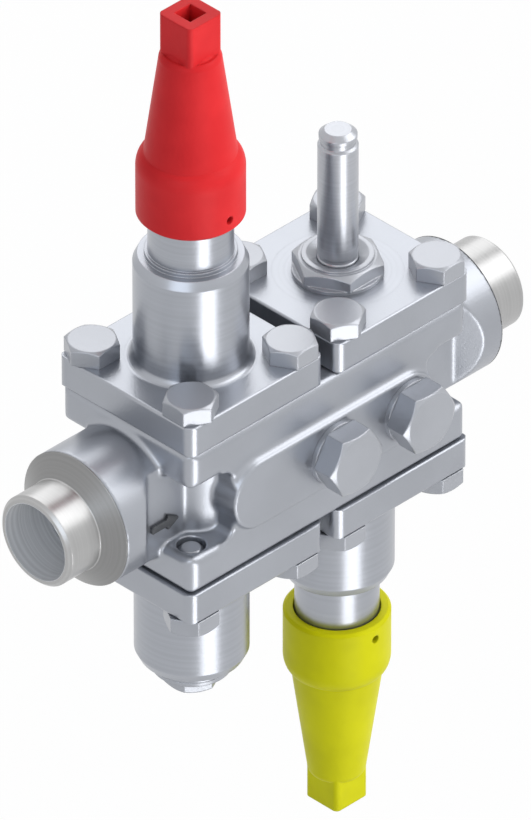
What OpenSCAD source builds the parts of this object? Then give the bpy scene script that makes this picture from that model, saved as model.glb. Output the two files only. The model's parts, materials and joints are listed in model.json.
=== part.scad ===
// Refrigeration valve station: one steel housing with four modules on two vertical axes.
// Frame: origin at the centre of the inlet pipe's end face, +X along the flow, +Z up, -Y the front.
// Upper left a stop valve, lower left a strainer, upper right a solenoid valve,
// lower right a hand regulating valve. Each pair of modules shares an axis.

/* [Pipe ends] */
// Outside diameter of the weld ends
pipe_od = 33.7; // [31:0.1:36]
// Wall of the weld ends
pipe_wall = 2.6; // [2:0.1:3.2]
// Straight length of each weld end
pipe_run = 14.2; // [8:0.2:30]
// Length of the cone from each weld end to its boss
pipe_cone = 5.1; // [4:0.1:8]
// Weld bevel at each pipe end
pipe_bevel = 1.2; // [0.4:0.1:1.6]

/* [Housing] */
// Distance from the inlet's end face to the first module axis
inlet_reach = 74; // [70:0.5:90]
// Distance from the second module axis to the outlet's end face
outlet_reach = 74; // [70:0.5:90]
// Half the height of the housing, centre line to cover face
housing_rise = 28.5; // [27.5:0.5:32]
// Radius of the block's upright corners
corner_r = 5; // [2:0.5:7]
// Radius of the bolt flanges' edges
edge_r = 3; // [1:0.5:5]
// Diameter of the round end bosses
boss_d = 49.6; // [46:0.2:52]
// Radius where each end boss meets the block
boss_fillet = 2; // [1:0.5:3]
// Thickness of the bolt flanges left above and below the pockets
flange_t = 14.2; // [12:0.2:15]
// Outside diameter of the round core behind each pocket
core_d = 53; // [52:0.5:56]
// Radius where the core meets the neck
core_fillet = 2; // [0.5:0.5:3]
// Width of the neck between the core and each end boss
neck_w = 34; // [30:0.5:38]
// Distance from a module axis to where the neck starts to flare
neck_reach = 38.1; // [34:0.1:40]
// Diameter of the long rounded boss on the front and back
side_boss_d = 26; // [24:0.5:27]
// How far the long boss stands out of the block
side_boss_rise = 2.6; // [1:0.1:4]
// Radius where the long boss meets the block
side_boss_fillet = 2.5; // [1:0.5:4]
// Radius of the pocket's inner corners beside the long boss
pocket_r = 5.6; // [4:0.1:6.5]

/* [Passages] */
// Diameter of the valve chambers
chamber_d = 40; // [38:0.5:41]
// Diameter of the round ducts inside the housing
duct_d = 20; // [18:0.5:21]
// Thickness of the wall that carries each valve seat
seat_wall = 4.5; // [3:0.5:5]
// Diameter of the hole through each valve seat
seat_bore = 16; // [14:0.5:18]
// Width of the transfer passage, front to back
transfer_w = 20; // [16:1:24]
// Clear height of the transfer passage where it leaves a chamber
transfer_h = 8; // [6:0.5:9]
// Length of plain duct between each end's taper and its chamber
end_duct_l = 18; // [10:0.5:22]

/* [Covers and bolts] */
// Side of each square cover
cover_w = 64; // [63:0.5:66]
// Gap between neighbouring covers
cover_gap = 6; // [4:0.5:16]
// How far each cover stands out over the housing
cover_overhang = 0.5; // [0:0.1:1.5]
// Thickness of each cover
cover_t = 12; // [10:0.5:14]
// Corner radius of each cover
cover_r = 4; // [2:0.5:6]
// Eased edge of each cover
cover_ease = 1; // [0.5:0.1:2]
// Thread diameter of the cover bolts
bolt_d = 10; // [8:0.5:10]
// Width across flats of the cover bolts
bolt_af = 17; // [15:0.5:18]
// Height of the cover bolts' heads
bolt_head_h = 6.4; // [5:0.1:8]
// Distance from a bolt's centre to the edge of its cover
bolt_edge = 8.4; // [8:0.1:8.8]
// How far the bolt tips stay inside their flanges
bolt_tip = 1; // [0.2:0.1:4]
// Length of the chamfer at a bolt's tip
bolt_chamfer = 1.8; // [0.5:0.1:2.5]
// Width of the ring of each cover gasket
gasket_w = 3; // [2:0.1:3.5]
// Thickness of the cover gaskets
gasket_t = 1; // [0.6:0.1:2]

/* [Bonnets] */
// Diameter of the bonnet barrels
barrel_d = 39.4; // [38:0.2:42]
// Length of the bonnet barrels above their covers, with the chamfer
barrel_h = 42.1; // [38:0.1:50]
// Length of the chamfer at the barrel's end
barrel_chamfer_h = 3.2; // [2:0.1:5]
// Width of the chamfer at the barrel's end
barrel_chamfer_w = 1.55; // [0.5:0.05:2]
// Radius at the foot of each barrel
barrel_fillet = 2.8; // [1:0.1:4]
// Diameter of the step between barrel and neck
step_d = 31.5; // [31:0.1:34]
// Height of the step between barrel and neck
step_h = 1.5; // [1:0.1:3]
// Diameter of the neck that the cap screws onto
neck_d = 29.2; // [28:0.1:30]
// Length of the neck
neck_h = 29.9; // [28:0.1:36]

/* [Caps] */
// Bare length of neck between the step and the cap's rim
cap_gap = 15; // [10:0.5:18]
// Outside diameter of the cap's skirt
cap_skirt_d = 37.2; // [35:0.1:39]
// Height of the cap's skirt
cap_skirt_h = 19.5; // [19:0.1:24]
// Height of the cap's rounded shoulder
cap_shoulder_h = 5.2; // [4:0.1:7]
// Diameter at the foot of the cap's long taper
cap_taper_foot_d = 31.8; // [31:0.1:33]
// Diameter at the top of the cap's long taper
cap_taper_top_d = 21.6; // [21:0.1:24]
// Height of the cap's long taper
cap_taper_h = 37.7; // [36:0.1:44]
// How much longer the regulating valve's cap tapers
yellow_taper_extra = 4; // [0:0.1:6]
// Radius at the top of the cap's long taper
cap_taper_r = 3.4; // [2:0.1:4]
// Height of the square head with its rounded root
cap_head_h = 17.9; // [14:0.1:22]
// Width of the square head across flats
cap_head_w = 15.4; // [14:0.1:16.5]
// Side of the square socket in the head
cap_socket_w = 7.6; // [6:0.1:8]
// Depth of the square socket in the head
cap_socket_depth = 10; // [6:0.5:12]
// Diameter of the vent hole in the skirt
cap_vent_d = 3; // [2:0.1:4]
// Thickness of the flat seal inside the cap
cap_seal_t = 1.5; // [1:0.1:2.5]

/* [Hand valve spindles] */
// Diameter of the spindles
stem_d = 10; // [8:0.2:11]
// Length of a spindle above the bonnet's neck
stem_reach = 34; // [28:0.5:36]
// Width across flats of the spindle's square end
stem_square = 7; // [5:0.1:7]
// Length of the spindle's square end
stem_square_h = 15; // [10:0.5:18]
// Diameter of the valve discs
disc_d = 26; // [24:0.5:30]
// Height of the rim of the valve discs
disc_rim_h = 5; // [4:0.5:7]
// Height of the valve discs with their hubs
disc_h = 26; // [20:0.5:27]
// Travel of the valve discs
valve_travel = 8; // [4:0.5:8]
// Diameter of the packing round each spindle
packing_d = 16; // [14:0.5:18]
// Height of the packing round each spindle
packing_h = 10; // [6:0.5:12]
// Depth of the gland's thread in the neck
gland_depth = 12; // [8:0.5:14]
// Width across flats of the gland
gland_af = 17; // [15:0.5:18]
// Height of the gland's hexagon
gland_head_h = 5; // [4:0.5:7]
// Depth of the cavity in each bonnet that takes the disc's hub
bonnet_cavity_h = 16; // [15:0.5:20]

/* [Strainer] */
// Outside diameter of the strainer basket
basket_d = 26; // [24:0.5:27]
// Wall of the strainer basket
basket_wall = 0.8; // [0.6:0.1:1.2]
// Height of the plain rims of the basket
basket_rim_h = 4; // [3:0.5:6]
// Diameter of the holes in the basket
mesh_hole_d = 3; // [2:0.1:3.4]
// Rows of holes up the basket
mesh_rows = 11; // [5:1:11]
// Holes round the basket in each row
mesh_holes = 12; // [8:1:14]
// Wall of the strainer's barrel
barrel_wall = 4.2; // [3:0.1:5]
// Thickness of the barrel's end wall
barrel_end_t = 5; // [4:0.5:8]
// Diameter of the drain boss
drain_boss_d = 27.6; // [25:0.2:30]
// Height of the drain boss
drain_boss_h = 3.9; // [2:0.1:6]
// Thickness of the drain washer
drain_washer_t = 1.5; // [1:0.1:2.5]
// Thread diameter of the drain plug
drain_thread_d = 12; // [10:0.5:14]
// Width across flats of the drain plug
drain_af = 17; // [16:0.5:22]
// Height of the drain plug's hexagon
drain_head_h = 6.5; // [5:0.5:10]

/* [Solenoid module] */
// Diameter of the armature tube
tube_d = 14; // [13:0.2:15]
// Height of the armature tube above its cover
tube_h = 58; // [54:0.5:66]
// Wall of the armature tube
tube_wall = 1.2; // [0.8:0.1:1.4]
// Width across flats of the tube nut
nut_af = 28; // [26:0.5:30]
// Height of the tube nut above the cover
nut_h = 7.5; // [6:0.5:10]
// Diameter of the tube nut's collar
nut_collar_d = 31.5; // [30:0.5:33]
// Height of the tube nut's collar
nut_collar_h = 1.5; // [1:0.1:2.5]
// Diameter of the recess in the top of the tube nut
nut_recess_d = 21; // [18:0.5:22]
// Depth of the socket for the tube nut in its cover
nut_socket_depth = 4.5; // [3.5:0.5:5]
// Diameter of the servo piston
piston_d = 32.8; // [30:0.2:33]
// Height of the servo piston
piston_h = 9; // [7:0.5:10]
// Travel of the servo piston
piston_travel = 5; // [3:0.5:5]
// Travel of the armature
armature_travel = 2; // [1:0.1:2.5]
// Length of the fixed pole in the top of the tube
pole_h = 26.5; // [22:0.5:30]
// How much wider the tube's foot is than the tube
tube_foot_extra = 5; // [4:0.5:6]
// Distance from the tube's end to its clip groove
groove_drop = 6.1; // [5:0.1:8]
// Depth of the clip groove
groove_depth = 1; // [0.4:0.1:1.2]
// Length of the clip groove
groove_w = 2.6; // [1.5:0.1:3]
// Radius taken off the tube's rounded end
tube_tip = 2; // [1:0.1:3]
// Length of the relief in the tube just above the nut
relief_w = 2; // [1:0.1:3]
// Depth of the spring pocket in the armature
armature_pocket_h = 12; // [8:0.5:16]
// Diameter of the spring pocket in the armature
armature_pocket_d = 7.4; // [7:0.1:9]
// Coil diameter of the armature spring
armature_coil_d = 5; // [4.5:0.1:5.5]
// Width of the piston's rim outside its spring
piston_rim_w = 4.5; // [3:0.5:6]
// Wire diameter of the piston spring
piston_wire = 1.4; // [1:0.1:1.6]
// Wire diameter of the armature spring
armature_wire = 0.8; // [0.6:0.1:1]

/* [Side plugs] */
// Width across flats of the side plugs
plug_af = 22; // [19:0.5:23]
// Height of a side plug's hexagon
plug_head_h = 8.9; // [6:0.1:12]
// Thread diameter of the side plugs
plug_thread_d = 16.6; // [13:0.1:18]
// Depth of the side plugs' threaded holes
plug_depth = 13; // [11:0.5:13]
// Diameter of the washers under the side plugs
plug_washer_d = 23.5; // [23:0.1:26]
// Thickness of the washers under the side plugs
plug_washer_t = 2; // [1:0.1:3]
// Diameter of the drillings behind the side plugs
port_d = 9; // [6:0.5:10]

/* [Hidden] */

// Facets of the round surfaces
$fn = 96;
// Overlap that makes a cut run clean through a face
eps = 0.5;
// Radial clearance of a running or threaded fit
fit = 0.05;
// Gap that keeps a moving face off its seat
face_gap = 0.3;
// Radial clearance of a plain hole round a bolt
bolt_slack = 0.5;

// Sizes that follow the covers and the chambers
module_pitch = cover_w + cover_gap;
housing_depth = cover_w - 2 * cover_overhang;
bolt_pitch = cover_w - 2 * bolt_edge;
gasket_d = chamber_d + 2 * gasket_w;

// Places along the flow
axis_1 = inlet_reach;
axis_2 = inlet_reach + module_pitch;
middle_x = (axis_1 + axis_2) / 2;
overall_l = axis_2 + outlet_reach;
nipple_l = pipe_run + pipe_cone;
block_l = module_pitch + housing_depth;
block_half_y = housing_depth / 2;
side_face_y = block_half_y + side_boss_rise;

// Levels above the housing's centre line, the same for modules above and below it
pocket_z = housing_rise - flange_t;
bolt_foot = pocket_z + bolt_tip;
near_floor = duct_d / 2 + 0.5;
far_floor = near_floor + seat_wall;
transfer_z0 = far_floor + 0.5;
transfer_z1 = transfer_z0 + transfer_h;
cover_top = housing_rise + cover_t;
barrel_top = cover_top + barrel_h;
step_top = barrel_top + step_h;
neck_top = step_top + neck_h;
cap_rim = step_top + cap_gap;
cap_shoulder = cap_rim + cap_skirt_h;
cap_taper_foot = cap_shoulder + cap_shoulder_h;
cap_taper_top = cap_taper_foot + cap_taper_h;
cap_top = cap_taper_top + cap_head_h;

// Bores and radii shared by fitting pieces
pipe_bore = pipe_od - 2 * pipe_wall;
cap_bore_d = neck_d + 1;
cap_cavity_foot_d = neck_d - 5.2;
cap_cavity_top_d = cap_taper_top_d - 7;
cap_cavity_top = cap_taper_top - 3;
cap_seat = neck_top + cap_seal_t;
packing_floor = neck_top - gland_depth - packing_h;
bonnet_cavity_d = 20;
bonnet_cavity_top = housing_rise + bonnet_cavity_h;
disc_foot = near_floor - face_gap;
stem_foot = disc_foot - 8;

// Strainer levels, measured down from the centre line
barrel_bore = barrel_d - 2 * barrel_wall;
basket_floor = barrel_top - barrel_end_t;
drain_face = barrel_top + drain_boss_h;
drain_seat = drain_face + drain_washer_t;

// Solenoid levels
skirt_foot = transfer_z1 + 0.5;
nut_socket_floor = cover_top - nut_socket_depth;
piston_roof = nut_socket_floor - 3;
piston_foot = far_floor + face_gap;
piston_floor_t = 3;
armature_foot = nut_socket_floor + face_gap;
tube_bore = tube_d - 2 * tube_wall;
tube_foot_t = 2;
tube_foot_d = tube_d + tube_foot_extra;
tube_top = cover_top + tube_h;
pole_z = tube_top - pole_h;
relief_z = cover_top + nut_h - 1.5;
armature_top = pole_z - armature_travel - face_gap;
armature_pocket = armature_top - armature_pocket_h;

// Rounded end of each pocket, where its floor turns into the long boss's flank
side_boss_r = side_boss_d / 2;
pocket_arc_z = pocket_z - pocket_r;
pocket_arc_x = sqrt(pow(side_boss_r + pocket_r, 2) - pow(pocket_arc_z, 2));
pocket_turn = asin(pocket_arc_z / (side_boss_r + pocket_r));
pocket_steps = 10;
// Share of the long boss's fillet that its rise leaves room for
side_boss_reach = min(1, side_boss_rise / side_boss_fillet);

steel = [0.66, 0.69, 0.74];
bright_steel = [0.82, 0.82, 0.82];
dark_steel = [0.45, 0.46, 0.48];
seal_black = [0.12, 0.12, 0.13];
brass_tone = [0.78, 0.65, 0.35];
cap_red = [0.85, 0.1, 0.12];
cap_yellow = [0.9, 0.88, 0.05];

function arc(cx, cy, r, from, to, steps) =
    [for (i = [0 : steps]) let (a = from + (to - from) * i / steps)
        [cx + r * cos(a), cy + r * sin(a)]];

// Rounded rectangle about the origin
module rounded_rect(w, h, r) {
    square([w - 2 * r, h], center = true);
    square([w, h - 2 * r], center = true);
    for (x = [-1, 1], y = [-1, 1])
        translate([x * (w / 2 - r), y * (h / 2 - r)]) circle(r);
}

// Block with round upright corners and eased edges along its top and bottom
module eased_block(l, w, h, upright_r, top_r) {
    intersection() {
        translate([0, 0, -h / 2]) linear_extrude(h) rounded_rect(l, w, upright_r);
        rotate([90, 0, 0]) translate([0, 0, -w / 2 - eps])
            linear_extrude(w + 2 * eps) rounded_rect(l, h, top_r);
        rotate([0, 90, 0]) translate([0, 0, -l / 2 - eps])
            linear_extrude(l + 2 * eps) rounded_rect(h, w, top_r);
    }
}

module cover_plate() {
    translate([0, 0, housing_rise + cover_t / 2])
        eased_block(cover_w, cover_w, cover_t, cover_r, cover_ease);
}

// Hexagonal prism with its upper corners turned down
module hex_head(af, h) {
    corner_r = af / 2 / cos(30);
    intersection() {
        cylinder(r = corner_r, h = h, $fn = 6);
        rotate_extrude() polygon([
            [0, 0], [corner_r + eps, 0], [corner_r + eps, h - (corner_r + eps - af * 0.475) * tan(30)],
            [af * 0.475, h], [0, h]
        ]);
    }
}

// Solid turned from a list of [radius, height] points
module turned(points) {
    rotate_extrude() polygon(points);
}

module ring(outer_d, inner_d, z0, z1) {
    translate([0, 0, z0]) difference() {
        cylinder(d = outer_d, h = z1 - z0);
        translate([0, 0, -eps]) cylinder(d = inner_d, h = z1 - z0 + 2 * eps);
    }
}

module rod(d, z0, z1) {
    translate([0, 0, z0]) cylinder(d = d, h = z1 - z0);
}

module at_bolts() {
    for (x = [-1, 1], y = [-1, 1])
        translate([x * bolt_pitch / 2, y * bolt_pitch / 2, 0]) children();
}

module upper(x) {
    translate([x, 0, 0]) children();
}

module lower(x) {
    translate([x, 0, 0]) mirror([0, 0, 1]) children();
}

// Outline of a pocket seen from the front: x runs outwards from the module axis
module pocket_front() {
    polygon(concat(
        [[neck_reach + boss_d, pocket_z]],
        arc(pocket_arc_x, pocket_arc_z, pocket_r, 90, 180 - pocket_turn, pocket_steps),
        arc(0, 0, side_boss_r, pocket_turn, -pocket_turn, pocket_steps),
        arc(pocket_arc_x, -pocket_arc_z, pocket_r, 180 + pocket_turn, 270, pocket_steps),
        [[neck_reach + boss_d, -pocket_z]]
    ));
}

// Space beside the neck seen from above: its flat and the flare
module neck_side_plan() {
    out = boss_d;
    polygon([
        [0, neck_w / 2], [neck_reach, neck_w / 2], [neck_reach + out, neck_w / 2 + out],
        [0, neck_w / 2 + out]
    ]);
}

// Round core seen from above, with the fillet at its corner with the neck's flat
module core_plan() {
    core_r = core_d / 2;
    fillet_y = neck_w / 2 + core_fillet;
    fillet_x = sqrt(pow(core_r + core_fillet, 2) - pow(fillet_y, 2));
    turn = atan(fillet_y / fillet_x);
    circle(core_r);
    polygon(concat(
        [[fillet_x, neck_w / 2 - eps]],
        arc(fillet_x, fillet_y, core_fillet, 270, 180 + turn, 5),
        [[(core_r - eps) * cos(turn), (core_r - eps) * sin(turn)]]
    ));
}

// Outline of a pocket seen from above
module pocket_plan() {
    difference() {
        neck_side_plan();
        core_plan();
    }
}

// One pocket at a module axis, to the right and back of it
module pocket() {
    intersection() {
        translate([0, 0, -pocket_z]) linear_extrude(2 * pocket_z) pocket_plan();
        rotate([90, 0, 0]) translate([0, 0, -housing_depth]) linear_extrude(housing_depth)
            pocket_front();
    }
}

// Notch that clears the block for a flange's rounded inner edge, outside the core and the neck
module flange_notch() {
    notch_h = 2 * (pocket_z + edge_r);
    translate([0, 0, -notch_h / 2]) linear_extrude(notch_h) difference() {
        translate([pocket_arc_x, neck_w / 2]) square([housing_depth, housing_depth]);
        core_plan();
    }
}

module at_corners() {
    for (y = [0, 1]) mirror([0, y, 0]) {
        translate([axis_2, 0, 0]) children();
        translate([axis_1, 0, 0]) mirror([1, 0, 0]) children();
    }
}

// Block: two flanges with rounded edges and the body between them
module block() {
    for (side = [0, 1]) mirror([0, 0, side])
        translate([middle_x, 0, housing_rise - flange_t / 2])
            eased_block(block_l, housing_depth, flange_t, corner_r, edge_r);
    body_h = 2 * (housing_rise - edge_r);
    body_r = corner_r + 3;
    difference() {
        translate([middle_x, 0, -body_h / 2]) linear_extrude(body_h)
            rounded_rect(block_l, housing_depth, body_r);
        at_corners() flange_notch();
    }
}

// Round end boss along X, from the nipple to the inside of the block
module end_boss(face_x, block_x) {
    side = block_x > face_x ? 1 : -1;
    translate([face_x, 0, 0]) rotate([0, side * 90, 0]) {
        cylinder(d = boss_d, h = abs(block_x - face_x) + corner_r + eps);
        rotate_extrude() polygon(concat(
            [[boss_d / 2 - 1, abs(block_x - face_x) - boss_fillet]],
            arc(boss_d / 2 + boss_fillet, abs(block_x - face_x) - boss_fillet, boss_fillet, 180, 90, 5),
            [[boss_d / 2 + boss_fillet, abs(block_x - face_x) + 1],
             [boss_d / 2 - 1, abs(block_x - face_x) + 1]]
        ));
    }
}

// Both end bosses, with the neck's flats on their front and back
module end_bosses() {
    flat_h = boss_d + 2 * boss_fillet + 2 * eps;
    difference() {
        union() {
            end_boss(nipple_l, axis_1 - block_half_y);
            end_boss(overall_l - nipple_l, axis_2 + block_half_y);
        }
        at_corners() translate([0, 0, -flat_h / 2]) linear_extrude(flat_h) neck_side_plan();
    }
}

// Fillet round the foot of the long boss, on the front and back
module side_boss_foot() {
    r = side_boss_fillet;
    foot = concat(
        [[side_boss_r - 1, block_half_y - 1]], [[side_boss_r + r, block_half_y - 1]],
        arc(side_boss_r + r, block_half_y + r, r, 270, 180 + 90 * (1 - side_boss_reach), 5),
        [[side_boss_r - 1, side_face_y - eps / 10]]
    );
    for (y = [0, 1]) mirror([0, y, 0]) {
        for (x = [axis_1, axis_2]) translate([x, 0, 0]) rotate([-90, 0, 0]) turned(foot);
        for (z = [0, 1]) mirror([0, 0, z]) translate([axis_1, 0, 0])
            rotate([90, 0, 90]) linear_extrude(module_pitch)
                polygon([for (p = foot) [p.y, p.x]]);
    }
}

// Long boss on the front and back, from one axis to the other
module side_boss() {
    for (x = [axis_1, axis_2])
        translate([x, side_face_y, 0]) rotate([90, 0, 0])
            cylinder(d = side_boss_d, h = 2 * side_face_y);
    translate([axis_1, -side_face_y, -side_boss_r])
        cube([module_pitch, 2 * side_face_y, side_boss_d]);
}

// Duct from a weld end to the chamber on its axis
module end_duct(face_x, axis_x) {
    side = axis_x > face_x ? 1 : -1;
    taper_l = abs(axis_x - face_x) - chamber_d / 2 - end_duct_l;
    translate([face_x, 0, 0]) rotate([0, side * 90, 0]) {
        cylinder(d1 = pipe_bore, d2 = duct_d, h = taper_l);
        cylinder(d = duct_d, h = abs(axis_x - face_x) - chamber_d / 2 + 5);
    }
}

// Chambers and valve seat on one axis: the deep one first, the shallow one behind the seat
module column_cuts() {
    translate([0, 0, -near_floor]) cylinder(d = chamber_d, h = near_floor + housing_rise + eps);
    translate([0, 0, -housing_rise - eps]) cylinder(d = chamber_d, h = housing_rise + eps - far_floor);
    translate([0, 0, -far_floor - eps]) cylinder(d = seat_bore, h = seat_wall + 2 * eps);
    for (side = [0, 1]) mirror([0, 0, side]) {
        rod(gasket_d + 2 * fit, housing_rise - gasket_t, housing_rise + eps);
        at_bolts() rod(bolt_d, pocket_z - 1, housing_rise + eps);
    }
}

// Passage from the strainer's chamber up to the solenoid valve's chamber
module transfer_passage() {
    rotate([90, 0, 0]) translate([0, 0, -transfer_w / 2]) linear_extrude(transfer_w) {
        bend_r = 7;
        for (z = [-1, 1])
            translate([middle_x, z * (transfer_z1 - bend_r)]) circle(bend_r);
        square_z = transfer_z1 - bend_r;
        translate([middle_x - bend_r, -square_z]) square([2 * bend_r, 2 * square_z]);
        translate([axis_1 + chamber_d / 2 - 4, -transfer_z1])
            square([middle_x - axis_1 - chamber_d / 2 + 4, transfer_h]);
        translate([middle_x, transfer_z0])
            square([axis_2 - middle_x - chamber_d / 2 + 4, transfer_h]);
    }
}

// Threaded hole and drilling for a side plug, in from the front
module side_port(x, inner_y) {
    translate([x, -side_face_y - eps, 0]) rotate([-90, 0, 0]) {
        cylinder(d = plug_thread_d + 2 * fit, h = plug_depth + eps);
        cylinder(d = port_d, h = side_face_y + eps - inner_y);
    }
}

module housing() {
    color(steel) difference() {
        union() {
            difference() {
                union() {
                    block();
                    side_boss_foot();
                    end_bosses();
                }
                at_corners() pocket();
            }
            side_boss();
        }
        translate([axis_1, 0, 0]) column_cuts();
        translate([axis_2, 0, 0]) mirror([0, 0, 1]) column_cuts();
        end_duct(nipple_l, axis_1);
        end_duct(overall_l - nipple_l, axis_2);
        transfer_passage();
        side_port(middle_x, transfer_w / 2 - 1);
        side_port(axis_2, chamber_d / 2 - 1);
    }
}

// Weld end standing on its boss, turned about Z with its open end at zero
module nipple() {
    boss_r = boss_d / 2;
    turned([
        [pipe_bore / 2, 0], [pipe_od / 2 - pipe_bevel, 0], [pipe_od / 2, pipe_bevel],
        [pipe_od / 2, pipe_run], [boss_r, nipple_l], [pipe_bore / 2, nipple_l]
    ]);
}

module inlet_nipple() {
    color(bright_steel) rotate([0, 90, 0]) nipple();
}

module outlet_nipple() {
    color(bright_steel) translate([overall_l, 0, 0]) rotate([0, -90, 0]) nipple();
}

// Four cover bolts. The list turns each head about its own axis.
module cover_bolts(turns) {
    shank_d = bolt_d - 2 * fit;
    for (i = [0 : 3]) {
        x = i % 2 == 0 ? -1 : 1;
        y = i < 2 ? -1 : 1;
        translate([x * bolt_pitch / 2, y * bolt_pitch / 2, 0]) {
            translate([0, 0, bolt_foot])
                cylinder(d1 = shank_d - 2 * bolt_chamfer, d2 = shank_d, h = bolt_chamfer);
            rod(shank_d, bolt_foot + bolt_chamfer, cover_top + eps);
            translate([0, 0, cover_top]) rotate([0, 0, turns[i]]) hex_head(bolt_af, bolt_head_h);
        }
    }
}

module cover_gasket() {
    ring(gasket_d, chamber_d, housing_rise - gasket_t, housing_rise);
}

// Outside of a bonnet's barrel, from its cover up to the end chamfer
module barrel_outline(bore) {
    turned(concat(
        [[bore / 2, cover_top - eps], [barrel_d / 2 + barrel_fillet, cover_top - eps]],
        arc(barrel_d / 2 + barrel_fillet, cover_top + barrel_fillet, barrel_fillet, 270, 180, 6),
        [[barrel_d / 2, barrel_top - barrel_chamfer_h],
         [barrel_d / 2 - barrel_chamfer_w, barrel_top], [bore / 2, barrel_top]]
    ));
}

// Cover, barrel and neck of a hand valve, with the spindle's thread, packing box and gland thread
module hand_bonnet() {
    difference() {
        union() {
            cover_plate();
            barrel_outline(0);
            rod(step_d, barrel_top - eps, step_top);
            turned([
                [0, step_top - eps], [neck_d / 2, step_top - eps], [neck_d / 2, neck_top - 1],
                [neck_d / 2 - 1, neck_top], [0, neck_top]
            ]);
        }
        at_bolts() rod(bolt_d + 2 * bolt_slack, housing_rise - eps, cover_top + eps);
        rod(bonnet_cavity_d, housing_rise - eps, bonnet_cavity_top);
        rod(stem_d + 2 * fit, bonnet_cavity_top - eps, packing_floor + eps);
        rod(packing_d + 2 * fit, packing_floor, neck_top + eps);
    }
}

// Spindle with a square end for the key
module hand_stem() {
    square_z = neck_top + stem_reach - stem_square_h;
    rod(stem_d, -stem_foot, square_z);
    translate([0, 0, square_z + stem_square_h / 2 - eps / 2])
        intersection() {
            cube([stem_square, stem_square, stem_square_h + eps], center = true);
            rotate_extrude() polygon([
                [0, -stem_square_h], [stem_square * 0.65, -stem_square_h],
                [stem_square * 0.65, stem_square_h / 2 - 0.6],
                [stem_square * 0.5, stem_square_h / 2 + eps / 2], [0, stem_square_h / 2 + eps / 2]
            ]);
        }
}

// Valve disc with a flat seat rim and a hub that holds the spindle's foot
module valve_disc() {
    hub_r = stem_d / 2 + 4;
    difference() {
        turned([
            [0, -disc_foot], [disc_d / 2 - 0.6, -disc_foot], [disc_d / 2, -disc_foot + 0.6],
            [disc_d / 2, -disc_foot + disc_rim_h], [hub_r, -disc_foot + disc_rim_h + 6],
            [hub_r, -disc_foot + disc_h - 1], [hub_r - 1, -disc_foot + disc_h],
            [0, -disc_foot + disc_h]
        ]);
        rod(stem_d + 2 * fit, -stem_foot - face_gap, disc_h);
    }
}

module spindle_packing() {
    ring(packing_d, stem_d + 2 * fit, packing_floor, packing_floor + packing_h);
}

module spindle_gland() {
    difference() {
        union() {
            rod(packing_d, packing_floor + packing_h, neck_top + eps);
            translate([0, 0, neck_top]) hex_head(gland_af, gland_head_h);
        }
        rod(stem_d + 4 * fit, packing_floor, neck_top + gland_head_h + eps);
    }
}

module neck_seal() {
    ring(neck_d - 1, cap_cavity_foot_d + 0.4, neck_top, cap_seat);
}

// Sealing cap: skirt, rounded shoulder, long taper and square head with a socket
module sealing_cap(taper_extra) {
    shoulder_r = cap_skirt_d / 2 - cap_taper_foot_d / 2;
    taper_top = cap_taper_top + taper_extra;
    slope = (cap_taper_foot_d - cap_taper_top_d) / 2 / cap_taper_h;
    top_r = cap_taper_top_d / 2 - slope * taper_extra;
    flat_r = cap_head_w / 2;
    brow_turn = 52;
    difference() {
        union() {
            turned(concat(
                [[0, cap_rim], [cap_skirt_d / 2 - 1, cap_rim], [cap_skirt_d / 2, cap_rim + 1]],
                [for (a = [0 : 10 : 70])
                    [cap_taper_foot_d / 2 + shoulder_r * cos(a) * (1 - a / 700),
                     cap_shoulder + cap_shoulder_h * sin(a)]],
                [[cap_taper_foot_d / 2, cap_taper_foot + 0.4]],
                arc(top_r - cap_taper_r, taper_top, cap_taper_r, 0, brow_turn, 6),
                arc(flat_r + 2, taper_top + 4.4, 2, 235, 180, 5),
                [[0, taper_top + 4.4]]
            ));
            translate([0, 0, taper_top]) linear_extrude(cap_top - taper_top)
                rounded_rect(cap_head_w, cap_head_w, 1.9);
        }
        rod(cap_bore_d, cap_rim - eps, cap_seat);
        translate([0, 0, cap_seat - eps]) cylinder(
            d1 = cap_cavity_foot_d, d2 = cap_cavity_top_d, h = cap_cavity_top - cap_seat + eps
        );
        translate([0, 0, cap_top - cap_socket_depth / 2 + eps / 2])
            cube([cap_socket_w, cap_socket_w, cap_socket_depth + eps], center = true);
        translate([0, 0, cap_rim + cap_vent_d + 2.2]) rotate([90, 0, 0])
            cylinder(d = cap_vent_d, h = cap_skirt_d, $fn = 32);
    }
}

module stop_bonnet() {
    color(steel) upper(axis_1) hand_bonnet();
}

module stop_gasket() {
    color(seal_black) upper(axis_1) cover_gasket();
}

module stop_bolts() {
    color(steel) upper(axis_1) cover_bolts([30, 0, 0, 30]);
}

module stop_stem() {
    color(bright_steel) upper(axis_1) hand_stem();
}

module stop_disc() {
    color(dark_steel) upper(axis_1) valve_disc();
}

module stop_packing() {
    color(seal_black) upper(axis_1) spindle_packing();
}

module stop_gland() {
    color(steel) upper(axis_1) spindle_gland();
}

module stop_cap_seal() {
    color(seal_black) upper(axis_1) neck_seal();
}

module stop_cap() {
    color(cap_red) upper(axis_1) sealing_cap(0);
}

module strainer_bonnet() {
    color(steel) lower(axis_1) difference() {
        union() {
            cover_plate();
            barrel_outline(0);
            rod(drain_boss_d, barrel_top - eps, drain_face);
        }
        at_bolts() rod(bolt_d + 2 * bolt_slack, housing_rise - eps, cover_top + eps);
        rod(barrel_bore, housing_rise - eps, basket_floor);
        rod(drain_thread_d + 2 * fit, basket_floor - eps, drain_face + eps);
    }
}

module strainer_gasket() {
    color(seal_black) lower(axis_1) cover_gasket();
}

module strainer_bolts() {
    color(steel) lower(axis_1) cover_bolts([0, 0, 0, 0]);
}

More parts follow.
